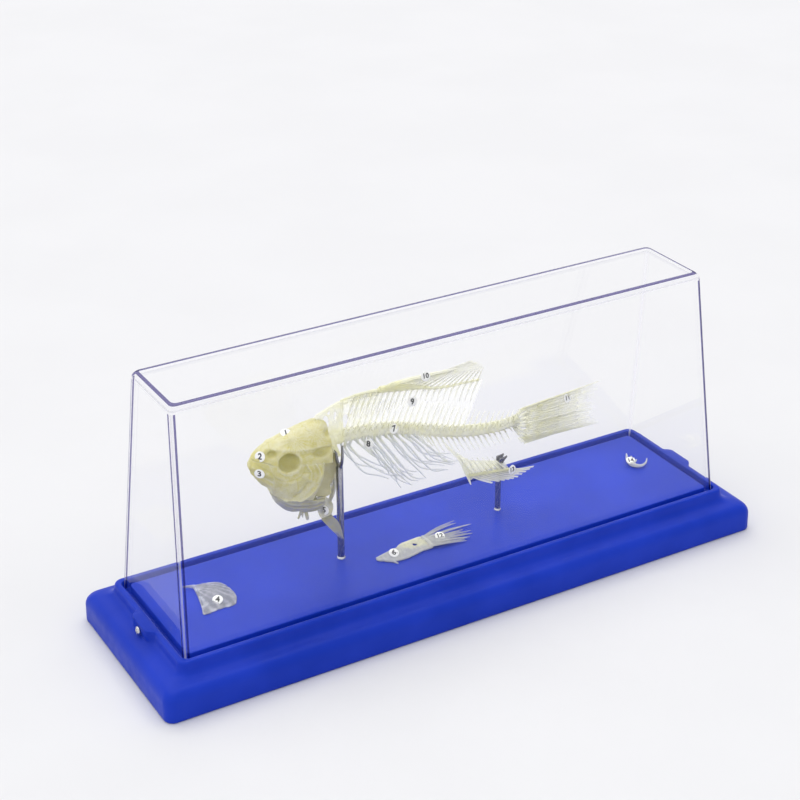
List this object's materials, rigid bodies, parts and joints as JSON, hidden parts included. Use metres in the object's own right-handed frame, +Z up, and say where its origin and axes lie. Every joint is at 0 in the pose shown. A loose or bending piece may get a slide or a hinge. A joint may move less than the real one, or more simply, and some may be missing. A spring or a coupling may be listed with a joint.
{
  "type": "mounted carp skeleton",
  "caption": "Small carp skeleton on two steel pins over a long moulded base, with loose head and fin bones beside it, under a clear tapered cover.",
  "frame": {"origin": "middle of the flat underside of the base", "axes": "+X along the base towards the fish's tail, +Y across the base away from the fish's left side, +Z up"},
  "size_m": [0.332, 0.1008, 0.1399],
  "materials": {
    "blue_plastic": "satin moulded, soft sheen",
    "clear_plastic": "polished clear acrylic",
    "steel": "bright drawn steel",
    "skull_bone": "oily yellow dry bone, satin",
    "throat_bone": "thin greyish dry bone, satin",
    "back_bone": "pale dry bone, satin",
    "rib_bone": "thin pale dry bone, satin",
    "fin_bone": "thin translucent fin rays, satin",
    "loose_bone": "thin pale dry bone, satin"
  },
  "bodies": {
    "root": {"base": "blue_plastic", "cover": "clear_plastic", "screw_left": "steel", "screw_right": "steel", "pin_front": "steel", "pin_rear": "steel", "cranium": "skull_bone", "upper_jaw": "skull_bone", "lower_jaw": "skull_bone", "cheek_left": "skull_bone", "cheek_right": "skull_bone", "gill_cover_right": "skull_bone", "throat": "throat_bone", "neck": "back_bone", "backbone_front": "back_bone", "backbone_middle": "back_bone", "backbone_rear": "back_bone", "ribs_left": "rib_bone", "ribs_right": "rib_bone", "nape_ridge": "back_bone", "dorsal_fin": "fin_bone", "dorsal_fin_spine": "fin_bone", "tail_fan": "back_bone", "tail_fin_upper": "fin_bone", "tail_fin_lower": "fin_bone", "anal_fin": "fin_bone", "shoulder_right": "throat_bone", "pectoral_fin_right": "throat_bone", "loose_gill_cover": "loose_bone", "loose_shoulder": "loose_bone", "loose_pectoral_fin": "loose_bone", "loose_tooth_bone": "loose_bone"}
  },
  "joints": []
}
